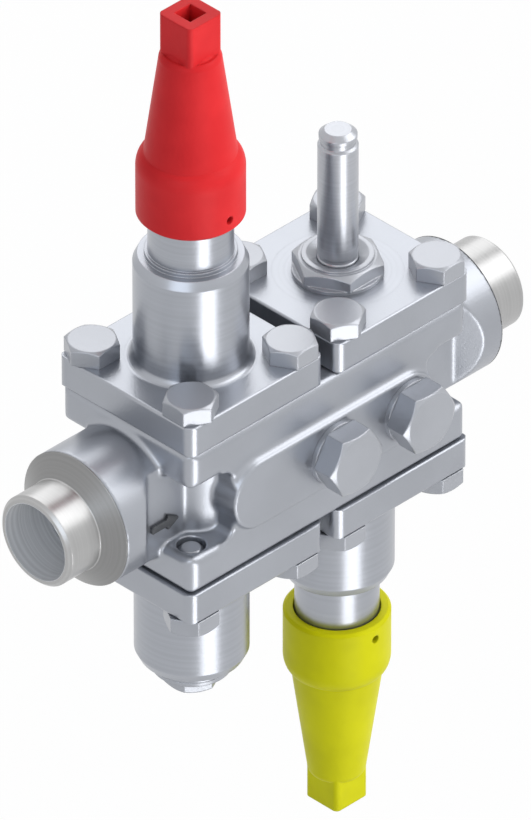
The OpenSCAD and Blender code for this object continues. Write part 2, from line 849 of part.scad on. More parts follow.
// Perforated basket between the seat wall and the end of the barrel
module strainer_basket() {
    basket_top = far_floor + face_gap;
    mesh_h = basket_floor - basket_top - 2 * basket_rim_h;
    color(bright_steel) lower(axis_1) difference() {
        union() {
            ring(basket_d, basket_d - 2 * basket_wall, basket_top, basket_floor);
            ring(basket_d + 2, basket_d - 1, basket_top, basket_top + 1.5);
            ring(basket_d + 2, basket_d - 1, basket_floor - 1.5, basket_floor);
        }
        for (row = [0 : mesh_rows - 1], i = [0 : mesh_holes - 1])
            translate([0, 0, basket_top + basket_rim_h + mesh_h * (row + 0.5) / mesh_rows])
                rotate([0, 90, (i + (row % 2) / 2) * 360 / mesh_holes])
                    translate([0, 0, basket_d / 2 - basket_wall - 1])
                        cylinder(d = mesh_hole_d, h = basket_wall + 2, $fn = 24);
    }
}

module drain_washer() {
    color(dark_steel) lower(axis_1)
        ring(drain_boss_d, drain_thread_d + 4 * fit, drain_face, drain_seat);
}

module drain_plug() {
    color(steel) lower(axis_1) {
        rod(drain_thread_d, basket_floor + 1, drain_seat + eps);
        translate([0, 0, drain_seat]) rotate([0, 0, 30]) hex_head(drain_af, drain_head_h);
    }
}

// Cover of the solenoid module, with the piston's guide skirt below and the tube's socket above
module solenoid_cover() {
    color(steel) upper(axis_2) difference() {
        union() {
            cover_plate();
            rod(chamber_d - 4 * fit, skirt_foot, housing_rise + eps);
        }
        at_bolts() rod(bolt_d + 2 * bolt_slack, housing_rise - eps, cover_top + eps);
        rod(piston_d + 2 * fit, skirt_foot - eps, piston_roof);
        rod(tube_foot_d + 6 * fit, nut_socket_floor, cover_top + eps);
        rod(2.4, piston_roof - eps, nut_socket_floor + eps);
    }
}

module solenoid_gasket() {
    color(seal_black) upper(axis_2) cover_gasket();
}

module solenoid_bolts() {
    color(steel) upper(axis_2) cover_bolts([30, 0, 0, 30]);
}

// Nut that holds the tube's foot down in its socket
module tube_nut() {
    color(steel) upper(axis_2) difference() {
        union() {
            rod(tube_foot_d + 4 * fit, nut_socket_floor + tube_foot_t, cover_top + eps);
            rod(nut_collar_d, cover_top, cover_top + nut_collar_h);
            translate([0, 0, cover_top + nut_collar_h - eps])
                hex_head(nut_af, nut_h - nut_collar_h - 1 + eps);
            rod(nut_af * 0.89, cover_top + nut_h - 1 - eps, cover_top + nut_h);
        }
        rod(tube_d + 2 * fit, nut_socket_floor, cover_top + nut_h + eps);
        translate([0, 0, cover_top + nut_h - 2])
            cylinder(d1 = tube_d + 2 * fit, d2 = nut_recess_d + 1, h = 2 + eps / 4);
    }
}

// Closed tube with its fixed pole in the top, a groove for the coil's clip and a turned foot
module armature_tube() {
    tube_r = tube_d / 2;
    relief_d = 0.4;
    tip_step = 0.4;
    groove_z = tube_top - groove_drop + groove_w;
    color(bright_steel) upper(axis_2) difference() {
        turned([
            [0, nut_socket_floor], [tube_foot_d / 2, nut_socket_floor],
            [tube_foot_d / 2, nut_socket_floor + tube_foot_t], [tube_r, nut_socket_floor + tube_foot_t],
            [tube_r, relief_z], [tube_r - relief_d, relief_z + relief_d],
            [tube_r - relief_d, relief_z + relief_w - relief_d], [tube_r, relief_z + relief_w],
            [tube_r, tube_top - groove_drop], [tube_r - groove_depth, groove_z - groove_w + 0.6],
            [tube_r - groove_depth, groove_z], [tube_r - tip_step, groove_z + 0.3],
            [tube_r - tip_step, groove_z + 1.8], [tube_r - tip_step - tube_tip, tube_top],
            [0, tube_top]
        ]);
        rod(tube_bore, nut_socket_floor - eps, pole_z);
    }
}

module armature() {
    armature_r = tube_bore / 2 - fit;
    color(dark_steel) upper(axis_2) difference() {
        turned([
            [0, armature_foot], [3, armature_foot], [3, armature_foot + 1.5],
            [armature_r, armature_foot + 3.5], [armature_r, armature_top - 0.5],
            [armature_r - 0.5, armature_top], [0, armature_top]
        ]);
        rod(armature_pocket_d, armature_pocket, armature_top + eps);
    }
}

// Coil spring of round wire, standing on z0, made as a tube swept along the coil
module coil_spring(coil_d, wire_d, z0, z1, turns) {
    sides = 6;
    per_turn = 16;
    rings = turns * per_turn;
    low = z0 + wire_d / 2;
    high = z1 - wire_d / 2;
    points = [
        for (k = [0 : rings], s = [0 : sides - 1])
            let (a = 360 * k / per_turn, b = 360 * s / sides, r = coil_d / 2 + wire_d / 2 * cos(b))
                [r * cos(a), r * sin(a), low + (high - low) * k / rings + wire_d / 2 * sin(b)]
    ];
    last = rings * sides;
    faces = concat(
        [[for (s = [0 : sides - 1]) s]],
        [for (k = [0 : rings - 1], s = [0 : sides - 1])
            let (a = k * sides + s, b = k * sides + (s + 1) % sides)
                [a, a + sides, b + sides, b]],
        [[for (s = [sides - 1 : -1 : 0]) last + s]]
    );
    polyhedron(points, faces, convexity = 10);
}

module armature_spring() {
    color(bright_steel) upper(axis_2)
        coil_spring(armature_coil_d, armature_wire, armature_pocket + 0.1, pole_z - 0.1, 7);
}

// Servo piston with a spring well above and a seat face below
module piston() {
    color(brass_tone) upper(axis_2) difference() {
        turned([
            [0, piston_foot], [piston_d / 2 - 4, piston_foot], [piston_d / 2 - 4, piston_foot + 2],
            [piston_d / 2, piston_foot + 4], [piston_d / 2, piston_foot + piston_h],
            [0, piston_foot + piston_h]
        ]);
        rod(piston_d - 2 * piston_rim_w, piston_foot + piston_floor_t, piston_foot + piston_h + eps);
    }
}

module piston_spring() {
    color(bright_steel) upper(axis_2) coil_spring(
        piston_d - 2 * piston_rim_w - 5, piston_wire, piston_foot + piston_floor_t + 0.1, piston_roof - 0.1, 5
    );
}

module regulating_bonnet() {
    color(steel) lower(axis_2) hand_bonnet();
}

module regulating_gasket() {
    color(seal_black) lower(axis_2) cover_gasket();
}

module regulating_bolts() {
    color(steel) lower(axis_2) cover_bolts([0, 0, 0, 0]);
}

module regulating_stem() {
    color(bright_steel) lower(axis_2) hand_stem();
}

// Regulating cone: a valve disc with a tapered nose that stands in the seat
module regulating_cone() {
    nose_r = seat_bore / 2 - face_gap;
    color(dark_steel) lower(axis_2) {
        valve_disc();
        turned([
            [0, -disc_foot - seat_wall], [nose_r - 2.5, -disc_foot - seat_wall],
            [nose_r, -disc_foot - 0.8], [nose_r, -disc_foot + 1], [0, -disc_foot + 1]
        ]);
    }
}

module regulating_packing() {
    color(seal_black) lower(axis_2) spindle_packing();
}

module regulating_gland() {
    color(steel) lower(axis_2) spindle_gland();
}

module regulating_cap_seal() {
    color(seal_black) lower(axis_2) neck_seal();
}

module regulating_cap() {
    color(cap_yellow) lower(axis_2) sealing_cap(yellow_taper_extra);
}

// Side plug at the front, its hexagon with corners to the left and right
module side_plug(x) {
    color(steel) translate([x, -side_face_y - plug_washer_t, 0]) rotate([90, 0, 0]) {
        hex_head(plug_af, plug_head_h);
        rod(plug_thread_d, 1 - plug_depth - plug_washer_t, eps);
    }
}

module side_washer(x) {
    color(dark_steel) translate([x, -side_face_y, 0]) rotate([90, 0, 0])
        ring(plug_washer_d, plug_thread_d + 4 * fit, 0, plug_washer_t);
}

module middle_plug() {
    side_plug(middle_x);
}

module middle_plug_washer() {
    side_washer(middle_x);
}

module right_plug() {
    side_plug(axis_2);
}

module right_plug_washer() {
    side_washer(axis_2);
}

housing();
inlet_nipple();
outlet_nipple();
stop_bonnet();
stop_gasket();
stop_bolts();
stop_stem();
stop_disc();
stop_packing();
stop_gland();
stop_cap_seal();
stop_cap();
strainer_bonnet();
strainer_gasket();
strainer_bolts();
strainer_basket();
drain_washer();
drain_plug();
solenoid_cover();
solenoid_gasket();
solenoid_bolts();
tube_nut();
armature_tube();
armature();
armature_spring();
piston();
piston_spring();
regulating_bonnet();
regulating_gasket();
regulating_bolts();
regulating_stem();
regulating_cone();
regulating_packing();
regulating_gland();
regulating_cap_seal();
regulating_cap();
middle_plug();
middle_plug_washer();
right_plug();
right_plug_washer();
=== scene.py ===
"""Refrigeration valve station: finishes, details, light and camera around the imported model."""
import json
import math

import bmesh
import bpy
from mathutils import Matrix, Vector


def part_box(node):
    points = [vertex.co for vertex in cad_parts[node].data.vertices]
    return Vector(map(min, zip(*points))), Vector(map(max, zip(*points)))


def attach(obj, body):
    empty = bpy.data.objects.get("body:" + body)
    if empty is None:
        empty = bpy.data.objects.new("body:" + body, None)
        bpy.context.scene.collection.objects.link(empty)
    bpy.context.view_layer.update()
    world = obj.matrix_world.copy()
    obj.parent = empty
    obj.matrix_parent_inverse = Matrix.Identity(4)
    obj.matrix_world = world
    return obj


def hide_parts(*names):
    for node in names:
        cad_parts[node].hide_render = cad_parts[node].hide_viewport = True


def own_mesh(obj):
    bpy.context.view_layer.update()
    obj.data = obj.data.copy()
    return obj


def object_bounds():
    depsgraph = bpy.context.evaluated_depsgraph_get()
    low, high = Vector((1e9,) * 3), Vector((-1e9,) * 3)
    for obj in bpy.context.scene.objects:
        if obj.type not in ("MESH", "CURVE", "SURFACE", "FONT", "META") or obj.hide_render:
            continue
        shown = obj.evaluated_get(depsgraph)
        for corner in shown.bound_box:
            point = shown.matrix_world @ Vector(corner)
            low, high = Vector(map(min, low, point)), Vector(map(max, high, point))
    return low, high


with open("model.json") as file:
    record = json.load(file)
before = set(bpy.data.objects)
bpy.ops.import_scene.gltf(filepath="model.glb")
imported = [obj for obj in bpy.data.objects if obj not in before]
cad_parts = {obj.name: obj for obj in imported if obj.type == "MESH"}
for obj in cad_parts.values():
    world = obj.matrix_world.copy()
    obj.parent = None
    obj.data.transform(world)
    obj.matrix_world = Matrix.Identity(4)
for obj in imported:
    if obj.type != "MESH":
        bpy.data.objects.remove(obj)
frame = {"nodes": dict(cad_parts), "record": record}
cad_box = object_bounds()
nodes = frame["nodes"]

MM = 0.001

# Sizes of the station that the finishes and details follow
STOP_X = 74 * MM              # axis of the stop valve and the strainer
SOLENOID_X = 144 * MM         # axis of the solenoid valve and the regulating valve
BARREL_REACH = 22.6 * MM      # turned part of the covers, from their axis
BOLT_PITCH = 47.2 * MM
PIPE_R = 16.85 * MM
PIPE_BORE_R = 14.25 * MM
HOUSING_NECK_HALF = 17.0 * MM  # from the centre plane to the flat of the housing's neck
CAP_NECK_R = 14.6 * MM
CAP_NECK_TOP = 114.0 * MM
THREAD_PITCH = 1.5 * MM
THREAD_DEPTH = 0.35 * MM

# Where the housing's forged pockets end, and the bands over which they fade in and out
POCKET_END = 42 * MM                      # along the pipe from the nearer module axis
POCKET_START = (4.5 * MM, 6.5 * MM)       # the same way
BLOCK_HALF_DEPTH = 34 * MM                # from the centre plane
POCKET_BACK = (13 * MM, 15 * MM)          # the same way
LONG_BOSS_FRONT = (28 * MM, 30 * MM)      # the same way
POCKET_ROOF = (17.5 * MM, 19.5 * MM)      # from mid height
LONG_BOSS_ROUND = (13.8 * MM, 15.2 * MM)  # about the round foot of the long boss
BOLT_HOLE_RIM = (6.2 * MM, 7.4 * MM)      # about each bolt hole

# The housing's skin
SKIN_VOXEL = 0.6 * MM
SMOOTH_FACTOR = 0.5
POCKET_PASSES = 11
EDGE_PASSES = 2
HOUSING_TRIANGLES = 185000

# Studio, in metres. The camera's lens and sensor are in millimetres.
FLOOR_DROP = 0.45
FLOOR_HALF = 12.0
FLOOR_GLOW = 0.94             # share of plain white in the floor's look, the rest keeps the shadow
FLOOR_WHITE = (0.95, 0.95, 0.95, 1)
ROOM_LIGHT = (0.3, 0.31, 0.33)
LAMP_DISTANCE = 1.6
CAMERA_FROM = (-1, -1, 1)
CAMERA_AIM = (0.10943, 0, -0.0003)
CAMERA_DISTANCE = 7.711
CAMERA_LENS = 1000
CAMERA_SENSOR = 36


# Shader groups

def shader_group(name, inputs, outputs):
    """Empty node group with named sockets, each input as (name, type, default). Gives its wiring,
    the sockets that it is given and those of its result."""
    group = bpy.data.node_groups.new(name, "ShaderNodeTree")
    for label, kind, default in inputs:
        socket = group.interface.new_socket(name=label, in_out="INPUT", socket_type=kind)
        socket.default_value = default
    for label, kind in outputs:
        group.interface.new_socket(name=label, in_out="OUTPUT", socket_type=kind)
    enter = group.nodes.new("NodeGroupInput")
    leave = group.nodes.new("NodeGroupOutput")
    return Wiring(group), enter.outputs, leave.inputs


class Wiring:
    """Short hand for adding and joining the nodes of one tree."""

    def __init__(self, tree):
        self.tree = tree

    def add(self, kind, **settings):
        made = self.tree.nodes.new(kind)
        for key, value in settings.items():
            setattr(made, key, value)
        return made

    def join(self, source, target):
        self.tree.links.new(source, target)

    def math(self, operation, first, second, clamp=False):
        made = self.add("ShaderNodeMath", operation=operation, use_clamp=clamp)
        self._feed(made.inputs[0], first)
        self._feed(made.inputs[1], second)
        return made.outputs[0]

    def vector(self, operation, first, second=None, output=0):
        made = self.add("ShaderNodeVectorMath", operation=operation)
        self._feed(made.inputs[0], first)
        self._feed(made.inputs[1], second)
        return made.outputs[output]

    def spread(self, value, low, high, to_low=0.0, to_high=1.0):
        made = self.add("ShaderNodeMapRange", interpolation_type="SMOOTHSTEP")
        for socket, number in zip(made.inputs, (value, low, high, to_low, to_high)):
            self._feed(socket, number)
        return made.outputs[0]

    def blend(self, share, first, second):
        made = self.add("ShaderNodeMix", data_type="RGBA")
        self._feed(made.inputs[0], share)
        self._feed(made.inputs[6], first)
        self._feed(made.inputs[7], second)
        return made.outputs[2]

    def number_blend(self, share, first, second):
        made = self.add("ShaderNodeMix", data_type="FLOAT")
        self._feed(made.inputs[0], share)
        self._feed(made.inputs[2], first)
        self._feed(made.inputs[3], second)
        return made.outputs[0]

    def place(self):
        """The object's own coordinates."""
        return self.add("ShaderNodeTexCoord").outputs["Object"]

    def noise(self, dimensions="3D", **sockets):
        made = self.add("ShaderNodeTexNoise", noise_dimensions=dimensions)
        for label, value in sockets.items():
            self._feed(made.inputs[label], value)
        return made.outputs[0]

    def group(self, group, **values):
        """Places a shader group with its own values, and gives its outputs."""
        made = self.add("ShaderNodeGroup", node_tree=group)
        for label, value in values.items():
            made.inputs[label].default_value = value
        return made.outputs

    def _feed(self, socket, value):
        if value is None:
            return
        if isinstance(value, bpy.types.NodeSocket):
            self.join(value, socket)
        elif socket.type == "RGBA":
            socket.default_value = (*value[:3], 1.0)
        else:
            socket.default_value = value


def edge_wear_and_highlight():
    """Eased edges: a rounded normal, and a mask that is 1 along edges in broken patches, where the
    colour is made lighter: partly abrasion, partly a painted highlight.
    """
    w, given, result = shader_group(
        "edge wear and highlight",
        [("Radius", "NodeSocketFloat", 0.6 * MM), ("Wear", "NodeSocketFloat", 0.5)],
        [("Mask", "NodeSocketFloat"), ("Normal", "NodeSocketVector")],
    )
    eased = w.add("ShaderNodeBevel", samples=6)
    w.join(given["Radius"], eased.inputs["Radius"])
    flat = w.add("ShaderNodeNewGeometry").outputs["Normal"]
    facing = w.vector("DOT_PRODUCT", eased.outputs[0], flat, output=1)
    turn = w.spread(w.math("SUBTRACT", 1.0, facing), 0.02, 0.25)
    patches = w.noise(Vector=w.place(), Scale=140, Detail=4)
    broken = w.spread(patches, 0.38, 0.62)
    worn_and_highlit = w.math("MULTIPLY", w.math("MULTIPLY", turn, broken), given["Wear"], clamp=True)
    w.join(worn_and_highlit, result["Mask"])
    w.join(eased.outputs[0], result["Normal"])
    return w.tree


def forged_grain():
    """Fine blasted grain of a forging, with a slow change of tone over it."""
    w, given, result = shader_group(
        "forged grain",
        [("Scale", "NodeSocketFloat", 900.0)],
        [("Height", "NodeSocketFloat"), ("Tone", "NodeSocketFloat")],
    )
    place = w.place()
    fine = w.noise(Vector=place, Scale=given["Scale"], Detail=5, Roughness=0.6)
    pits = w.add("ShaderNodeTexVoronoi", feature="SMOOTH_F1")
    w.join(place, pits.inputs["Vector"])
    w.join(w.math("MULTIPLY", given["Scale"], 1.7), pits.inputs["Scale"])
    slow = w.noise(Vector=place, Scale=38, Detail=3)
    height = w.math("ADD", fine, w.math("MULTIPLY", pits.outputs["Distance"], 0.5))
    w.join(height, result["Height"])
    w.join(w.spread(slow, 0.3, 0.7), result["Tone"])
    return w.tree


def turning_marks():
    """Fine rings left by a lathe round an axis, on cylinders and end faces, and a mask that is 1
    within the given reach of that axis."""
    w, given, result = shader_group(
        "turning marks",
        [
            ("Centre", "NodeSocketVector", (0, 0, 0)),
            ("Axis", "NodeSocketVector", (0, 0, 1)),
            ("Pitch", "NodeSocketFloat", 0.4 * MM),
            ("Reach", "NodeSocketFloat", 1.0),
        ],
        [("Height", "NodeSocketFloat"), ("Tone", "NodeSocketFloat"), ("Turned", "NodeSocketFloat")],
    )
    arm = w.vector("SUBTRACT", w.place(), given["Centre"])
    along = w.vector("DOT_PRODUCT", arm, given["Axis"], output=1)
    away = w.vector("LENGTH", w.vector("CROSS_PRODUCT", arm, given["Axis"]), output=1)
    travel = w.math("DIVIDE", w.math("ADD", along, away), given["Pitch"])
    rings = w.noise("1D", W=travel, Scale=1.0, Detail=3)
    wide = w.noise("1D", W=travel, Scale=0.25)
    w.join(rings, result["Height"])
    w.join(w.spread(wide, 0.3, 0.7), result["Tone"])
    w.join(w.math("LESS_THAN", away, given["Reach"]), result["Turned"])
    return w.tree


def orange_peel():
    """Soft waviness of a powder coat."""
    w, given, result = shader_group(
        "orange peel",
        [("Scale", "NodeSocketFloat", 500.0)],
        [("Height", "NodeSocketFloat"), ("Tone", "NodeSocketFloat")],
    )
    place = w.place()
    w.join(w.noise(Vector=place, Scale=given["Scale"], Detail=2), result["Height"])
    w.join(w.noise(Vector=place, Scale=60), result["Tone"])
    return w.tree


def painted_crevice_shade_and_dust():
    """Mask that is 1 deep in corners, from ambient occlusion and broken into patches: painted shade
    where less light falls, together with the oil and dust that stay there.
    """
    w, given, result = shader_group(
        "painted crevice shade and dust",
        [("Reach", "NodeSocketFloat", 6 * MM), ("Amount", "NodeSocketFloat", 0.5)],
        [("Mask", "NodeSocketFloat")],
    )
    shade = w.add("ShaderNodeAmbientOcclusion", samples=6)
    w.join(given["Reach"], shade.inputs["Distance"])
    patches = w.noise(Vector=w.place(), Scale=90, Detail=3)
    dark = w.spread(shade.outputs["AO"], 0.35, 0.85, 1.0, 0.0)
    broken = w.spread(patches, 0.25, 0.6, 0.45, 1.0)
    held = w.math("MULTIPLY", w.math("MULTIPLY", dark, broken), given["Amount"], clamp=True)
    w.join(held, result["Mask"])
    return w.tree


EDGE_WEAR_AND_HIGHLIGHT = edge_wear_and_highlight()
FORGED_GRAIN = forged_grain()
TURNING_MARKS = turning_marks()
ORANGE_PEEL = orange_peel()
PAINTED_CREVICE_SHADE_AND_DUST = painted_crevice_shade_and_dust()


# Materials

LOW_TONE = 0.93           # share of the colour where the slow tone is lowest
SHADE_AND_DUST_SHARE = 0.3          # share of the colour under the painted corner shade and dust
ROUGHNESS_SPREAD = 0.05   # between the lowest and the highest tone
EDGE_POLISH = 0.1         # roughness that rubbing takes off an edge
# Pale, matte zone in the pipe's bore: painted light.
BORE_LOW_TONE = 0.85
BORE_ROUGHNESS = 0.5
EVERYWHERE = 1.0          # reach of a turned zone that takes in the whole piece


def new_material(name):
    material = bpy.data.materials.new(name)
    material.use_nodes = True
    return material, Wiring(material.node_tree), material.node_tree.nodes["Principled BSDF"].inputs


def shade_of(colour, share):
    return tuple(share * c for c in colour)


def add_relief(w, surface, height, strength, distance, normal=None):
    """Bump from a height, over the eased normal where there is one."""
    relief = w.add("ShaderNodeBump")
    relief.inputs["Strength"].default_value = strength
    relief.inputs["Distance"].default_value = distance
    w.join(height, relief.inputs["Height"])
    if normal:
        w.join(normal, relief.inputs["Normal"])
    w.join(relief.outputs[0], surface["Normal"])


def turned_about(x, pitch=0.4 * MM, reach=EVERYWHERE):
    """Turned zone round the upright axis at x."""
    return (x, 0, 0), (0, 0, 1), pitch, reach


def steel(name, colour, bright, roughness, metallic=0.88, edge=0.5 * MM, wear_and_highlight=0.4, grain=900.0,
          grain_depth=0.08 * MM, turned=None, turned_depth=0.018 * MM, corner_shade_and_dust=0.15, bore=None,
          collar=None):
    """Metal with edges eased to a radius and made lighter, partly by abrasion and partly as a
    painted highlight, and darker in corners by painted shade and dust. turned is (centre, axis,
    pitch, reach) of the turned zone, bore is (radius, colour) of a paler, duller zone close to that
    axis, which is painted light in the bore, and collar is (radius, share of the brightness) of a
    darker zone far from it, which is painted shade."""
    material, w, surface = new_material(name)
    surface["Metallic"].default_value = metallic
    edges = w.group(EDGE_WEAR_AND_HIGHLIGHT, Radius=edge, Wear=wear_and_highlight)
    shade_and_dust = w.group(PAINTED_CREVICE_SHADE_AND_DUST, Amount=corner_shade_and_dust)
    forged = w.group(FORGED_GRAIN, Scale=grain)
    tone = forged["Tone"]
    height = w.math("MULTIPLY", forged["Height"], grain_depth)
    if turned:
        centre, axis, pitch, reach = turned
        lathe = w.group(TURNING_MARKS, Centre=centre, Axis=axis, Pitch=pitch, Reach=reach)
        rings = w.math("MULTIPLY", lathe["Height"], turned_depth)
        height = w.number_blend(lathe["Turned"], height, rings)
        tone = w.number_blend(lathe["Turned"], tone, lathe["Tone"])
    base = w.blend(tone, shade_of(colour, LOW_TONE), colour)
    # Lighter edges: abrasion, and a painted highlight that makes them read crisp.
    base = w.blend(edges["Mask"], base, bright)
    # Painted shade: darker in corners by ambient occlusion, together with oil and dust.
    base = w.blend(shade_and_dust["Mask"], base, shade_of(colour, SHADE_AND_DUST_SHARE))
    rough = w.math("MULTIPLY", tone, ROUGHNESS_SPREAD)
    rough = w.math("ADD", rough, roughness - ROUGHNESS_SPREAD / 2)
    rough = w.math("SUBTRACT", rough, w.math("MULTIPLY", edges["Mask"], EDGE_POLISH), clamp=True)
    # Painted light: a pale, matte, non-metal zone close to the axis, so that the inside of the bore
    # reads lit.
    if bore:
        bore_reach, bore_colour = bore
        inner = w.group(TURNING_MARKS, Centre=centre, Axis=axis, Pitch=pitch, Reach=bore_reach)
        pale = w.blend(lathe["Tone"], shade_of(bore_colour, BORE_LOW_TONE), bore_colour)
        base = w.blend(inner["Turned"], base, pale)
        rough = w.number_blend(inner["Turned"], rough, BORE_ROUGHNESS)
        w.join(w.number_blend(inner["Turned"], metallic, 0.0), surface["Metallic"])
    # Painted shade: far from the axis, on the pipe's weld bevel cone, the colour is made darker.
    if collar:
        collar_start, share = collar
        near = w.group(TURNING_MARKS, Centre=centre, Axis=axis, Pitch=pitch, Reach=collar_start)
        dark = w.vector("MULTIPLY", base, (share, share, share))
        base = w.blend(near["Turned"], dark, base)
    w.join(base, surface["Base Color"])
    w.join(rough, surface["Roughness"])
    add_relief(w, surface, height, 1.0, 1.0, edges["Normal"])
    return material


def powder_coat(name, colour, shadow):
    """Satin powder coat over steel, a little darker where the film is thin."""
    material, w, surface = new_material(name)
    surface["Roughness"].default_value = 0.45
    surface["Specular IOR Level"].default_value = 0.12
    peel = w.group(ORANGE_PEEL, Scale=650.0)
    edges = w.group(EDGE_WEAR_AND_HIGHLIGHT, Radius=0.7 * MM, Wear=0.35)
    shade_and_dust = w.group(PAINTED_CREVICE_SHADE_AND_DUST, Amount=0.3)
    # Lighter edge colour of the coat: abrasion and a painted highlight.
    worn_and_highlit_colour = tuple(min(1.0, 1.15 * c + 0.03) for c in colour)
    base = w.blend(w.spread(peel["Tone"], 0.3, 0.7), shadow, colour)
    base = w.blend(edges["Mask"], base, worn_and_highlit_colour)
    # Painted shade: darker in corners by ambient occlusion, together with oil and dust.
    base = w.blend(shade_and_dust["Mask"], base, shade_of(colour, SHADE_AND_DUST_SHARE))
    w.join(base, surface["Base Color"])
    add_relief(w, surface, peel["Height"], 0.35, 0.12 * MM, edges["Normal"])
    return material


def seal_fibre():
    """Dull black fibre and rubber of the gaskets, packings and seals."""
    material, w, surface = new_material("seal_black")
    surface["Roughness"].default_value = 0.75
    grain = w.group(FORGED_GRAIN, Scale=1600.0)
    base = w.blend(grain["Tone"], (0.012, 0.012, 0.013), (0.03, 0.03, 0.032))
    w.join(base, surface["Base Color"])
    add_relief(w, surface, grain["Height"], 0.4, 0.1 * MM)
    return material


GREY = (0.4, 0.417, 0.455)
# Colour of the lighter edges: abrasion and a painted highlight.
BRIGHT = (0.68, 0.7, 0.74)
FORGED = steel("housing_steel", GREY, BRIGHT, 0.34, grain=1100, grain_depth=0.02 * MM)
STOP_COVER = steel("cover_steel_stop", GREY, BRIGHT, 0.3, grain_depth=0.04 * MM,
                   turned=turned_about(STOP_X, reach=BARREL_REACH))
SOLENOID_COVER = steel("cover_steel_solenoid", GREY, BRIGHT, 0.3, grain_depth=0.04 * MM,
                       turned=turned_about(SOLENOID_X, reach=BARREL_REACH))
PIPE = steel("pipe_steel", (0.45, 0.45, 0.45), (0.7, 0.7, 0.7), 0.32, metallic=0.95,
             edge=0.4 * MM, turned=((0, 0, 0), (1, 0, 0), 0.3 * MM, EVERYWHERE),
             # bore: the pipe's inside painted pale, as painted light.
             turned_depth=0.012 * MM, corner_shade_and_dust=0.0, bore=(PIPE_BORE_R + 0.2 * MM, (0.95, 0.95, 0.95)),
             # collar: the weld bevel cone painted darker, as painted shade.
             collar=(PIPE_R + 0.3 * MM, 0.6))
BOLT = steel("bolt_steel", (0.42, 0.435, 0.47), BRIGHT, 0.32, metallic=0.65, grain=700,
             grain_depth=0.04 * MM, edge=0.7 * MM, wear_and_highlight=0.6)
TUBE = steel("tube_steel", (0.46, 0.475, 0.51), BRIGHT, 0.32, metallic=0.8, edge=0.4 * MM,
             turned=turned_about(SOLENOID_X, 0.3 * MM), turned_depth=0.004 * MM)
SPINDLE = steel("spindle_steel", (0.55, 0.55, 0.57), BRIGHT, 0.2, metallic=1.0, edge=0.3 * MM,
                turned=turned_about(STOP_X, 0.3 * MM), turned_depth=0.01 * MM, corner_shade_and_dust=0.2)
VALVE = steel("valve_steel", (0.3, 0.31, 0.33), BRIGHT, 0.36, metallic=1.0,
              turned=turned_about(STOP_X, 0.3 * MM))
BRASS = steel("piston_brass", (0.62, 0.45, 0.18), (0.85, 0.68, 0.36), 0.3, metallic=1.0,
              turned=turned_about(SOLENOID_X, 0.3 * MM))
ARROW = steel("arrow_steel", (0.1, 0.104, 0.112), (0.3, 0.31, 0.33), 0.45, metallic=0.6)
SEAL = seal_fibre()
RED = powder_coat("cap_red", (0.8, 0.03, 0.034), (0.73, 0.024, 0.028))
YELLOW = powder_coat("cap_yellow", (0.7, 0.68, 0.001), (0.63, 0.61, 0.001))

FINISHES = {
    "housing": FORGED,
    "inlet_nipple": PIPE,
    "outlet_nipple": PIPE,
    "stop_bonnet": STOP_COVER,
    "strainer_bonnet": STOP_COVER,
    "solenoid_cover": SOLENOID_COVER,
    "regulating_bonnet": SOLENOID_COVER,
    "armature_tube": TUBE,
    "armature": VALVE,
    "stop_disc": VALVE,
    "regulating_cone": VALVE,
    "piston": BRASS,
    "stop_cap": RED,
    "regulating_cap": YELLOW,
}
BY_SLOT = {"seal_black": SEAL, "bolt_steel": BOLT, "spindle_steel": SPINDLE}


def finish_frame():
    """Gives every CAD node its finish."""
    slots = {p["node"]: p["material_slot"] for p in frame["record"]["subparts"]}
    for name, piece in nodes.items():
        material = FINISHES.get(name) or BY_SLOT[slots[name]]
        piece.data.materials.clear()
        piece.data.materials.append(material)


# Pieces

def piece_from(name, mesh, material, body):
    mesh.materials.append(material)
    piece = bpy.data.objects.new(name, mesh)
    bpy.context.scene.collection.objects.link(piece)
    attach(piece, body)
    return piece


def mesh_from(name, shape):
    """Mesh of a finished bmesh."""
    mesh = bpy.data.meshes.new(name)
    shape.to_mesh(mesh)
    shape.free()
    return mesh


def shade_smooth(mesh):
    for face in mesh.polygons:
        face.use_smooth = True


def ramp(value, low, high):
    return min(1.0, max(0.0, (value - low) / (high - low)))


def in_pocket(x, y, z):
    """How far a point of the housing belongs to a forged pocket, from 0 to 1."""
    along = min(abs(x - STOP_X), abs(x - SOLENOID_X))
    deep = abs(y)
    between = STOP_X < x < SOLENOID_X
    if between or along > POCKET_END or deep > BLOCK_HALF_DEPTH:
        return 0.0
    share = ramp(along, *POCKET_START)
    share *= ramp(deep, *POCKET_BACK)
    share *= 1 - ramp(abs(z), *POCKET_ROOF)
    to_boss = math.hypot(along, z)
    share *= 1 - ramp(deep, *LONG_BOSS_FRONT) * (1 - ramp(to_boss, *LONG_BOSS_ROUND))
    to_bolt = math.hypot(along - BOLT_PITCH / 2, deep - BOLT_PITCH / 2)
    return share * ramp(to_bolt, *BOLT_HOLE_RIM)


def bake_modifiers(piece):
    """Turns a piece's modifiers into plain mesh."""
    graph = bpy.context.evaluated_depsgraph_get()
    made = bpy.data.meshes.new_from_object(piece.evaluated_get(graph), depsgraph=graph)
    old = piece.data
    piece.modifiers.clear()
    piece.data = made
    bpy.data.meshes.remove(old)


def smooth(piece, name, passes):
    modifier = piece.modifiers.new(name, "SMOOTH")
    modifier.factor = SMOOTH_FACTOR
    modifier.iterations = passes
    return modifier


